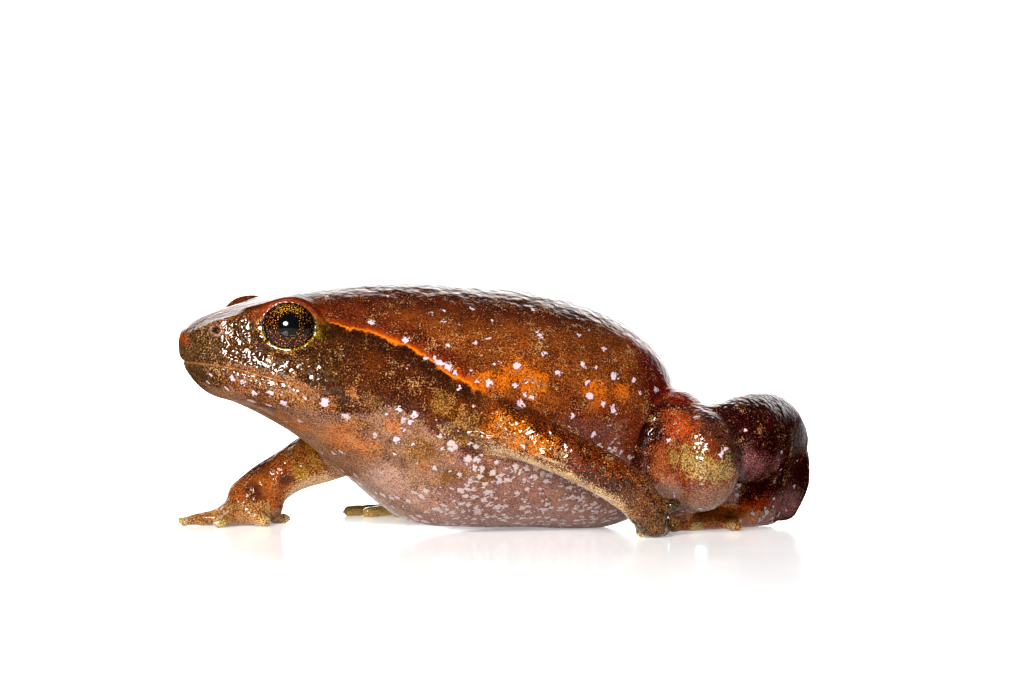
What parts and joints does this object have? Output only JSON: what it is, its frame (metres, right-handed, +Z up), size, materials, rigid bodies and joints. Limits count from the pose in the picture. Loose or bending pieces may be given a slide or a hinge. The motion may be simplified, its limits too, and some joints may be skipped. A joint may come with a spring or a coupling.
{
  "type": "betsileo digging frog",
  "caption": "Stout digging frog at life size, resting on its belly, hands and feet, with smooth wet skin and large dark eyes.",
  "frame": {"origin": "bottom centre of the frog's box, on the floor that it rests on", "axes": "+Z up, the frog looks along -X, its left side is at -Y"},
  "size_m": [0.0405, 0.0275, 0.0155],
  "materials": {
    "skin_back": "wet glossy skin, orange-brown with pale spots",
    "skin_head": "wet glossy skin, dark brown with gold specks",
    "skin_limbs": "wet glossy skin, mottled orange and dark brown",
    "skin_feet": "wet glossy skin, olive-brown with pale rounded tips",
    "eye": "polished black eye with gold flecks"
  },
  "bodies": {
    "root": {"head": "skin_head", "lower_jaw": "skin_head", "torso": "skin_back", "left_eye": "eye", "right_eye": "eye", "left_upper_arm": "skin_limbs", "left_forearm": "skin_limbs", "left_thigh": "skin_limbs", "left_shank": "skin_limbs", "left_tarsus": "skin_limbs", "left_hand": "skin_feet", "left_foot": "skin_feet", "right_upper_arm": "skin_limbs", "right_forearm": "skin_limbs", "right_thigh": "skin_limbs", "right_shank": "skin_limbs", "right_tarsus": "skin_limbs", "right_hand": "skin_feet", "right_foot": "skin_feet"}
  },
  "joints": []
}
